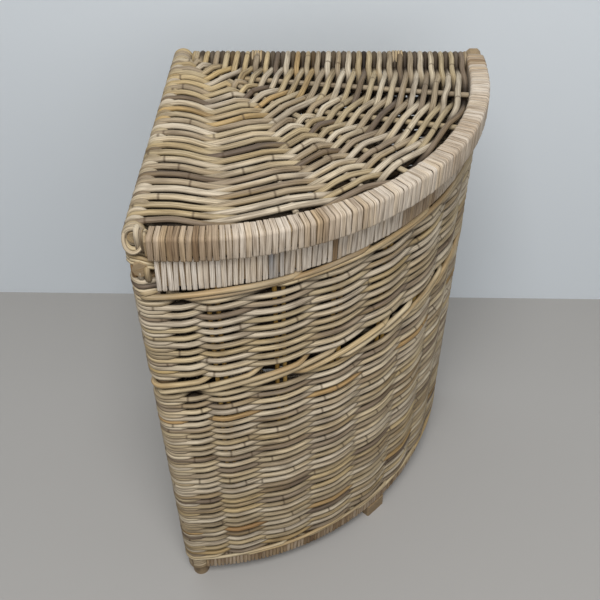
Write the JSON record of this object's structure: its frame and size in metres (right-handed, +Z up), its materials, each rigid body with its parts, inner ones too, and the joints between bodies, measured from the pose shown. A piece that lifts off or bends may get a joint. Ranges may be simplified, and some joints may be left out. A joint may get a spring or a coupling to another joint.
{
  "type": "corner laundry basket",
  "caption": "Quarter-round corner laundry basket of woven grey rattan, with a bound rim, short feet and a woven lid hinged along its straight back.",
  "frame": {"origin": "on the floor, under the middle of the whole basket's box", "axes": "+Z up; +X right along the straight back; +Y towards the straight back, so the curved front faces -Y and +X"},
  "size_m": [0.4, 0.404, 0.65],
  "materials": {
    "kubu_rod": "weathered grey-buff rattan rod, satin",
    "binding_strip": "flat split rattan strips, dull, with dark seams",
    "peeled_cane": "golden peeled cane, satin",
    "rattan_pole": "bare rattan pole, matt"
  },
  "bodies": {
    "basket": {"post_back_left": "rattan_pole", "post_front_left": "rattan_pole", "post_back_right": "rattan_pole", "foot_block_front": "rattan_pole", "bottom_pole_left": "rattan_pole", "bottom_pole_back": "rattan_pole", "bottom_pole_front": "rattan_pole", "base_batten_1": "rattan_pole", "base_batten_2": "rattan_pole", "rim_pole_front": "rattan_pole", "rim_pole_left": "rattan_pole", "rim_pole_back": "rattan_pole", "stake_front_1": "peeled_cane", "stake_front_2": "peeled_cane", "stake_front_3": "peeled_cane", "stake_front_4": "peeled_cane", "stake_front_5": "peeled_cane", "stake_front_6": "peeled_cane", "stake_front_7": "peeled_cane", "stake_left_1": "peeled_cane", "stake_left_2": "peeled_cane", "stake_left_3": "peeled_cane", "stake_left_4": "peeled_cane", "stake_back_1": "peeled_cane", "stake_back_2": "peeled_cane", "stake_back_3": "peeled_cane", "stake_back_4": "peeled_cane", "weave_left_lower": "kubu_rod", "weave_back_lower": "kubu_rod", "weave_front_lower": "kubu_rod", "weave_left_upper": "kubu_rod", "weave_back_upper": "kubu_rod", "weave_front_upper": "kubu_rod", "wale_bottom": "peeled_cane", "wale_middle_lower": "peeled_cane", "wale_middle_upper": "peeled_cane", "wale_top_lower": "peeled_cane", "wale_top_upper": "peeled_cane", "base_weave": "kubu_rod", "bottom_binding_front": "binding_strip", "rim_binding_front": "binding_strip", "rim_wraps_left": "kubu_rod", "rim_wraps_back": "kubu_rod", "hinge_rod": "peeled_cane", "hinge_band_body_left": "binding_strip", "hinge_band_body_right": "binding_strip"},
    "lid": {"lid_rim_pole": "rattan_pole", "lid_rim_binding": "binding_strip", "lid_pole_left": "rattan_pole", "lid_wraps_left": "kubu_rod", "lid_pole_back": "rattan_pole", "lid_wraps_back": "kubu_rod", "lid_spoke_1": "peeled_cane", "lid_spoke_2": "peeled_cane", "lid_spoke_3": "peeled_cane", "lid_spoke_4": "peeled_cane", "lid_spoke_5": "peeled_cane", "lid_weave": "kubu_rod", "hinge_band_lid_left": "binding_strip", "hinge_band_lid_right": "binding_strip"}
  },
  "joints": [
    {"name": "lid_hinge", "type": "hinge", "parent": "basket", "child": "lid", "pos_m": [0, 0.198, 0.62055], "axis": [-1, 0, 0], "range_deg": [0, 105]}
  ]
}
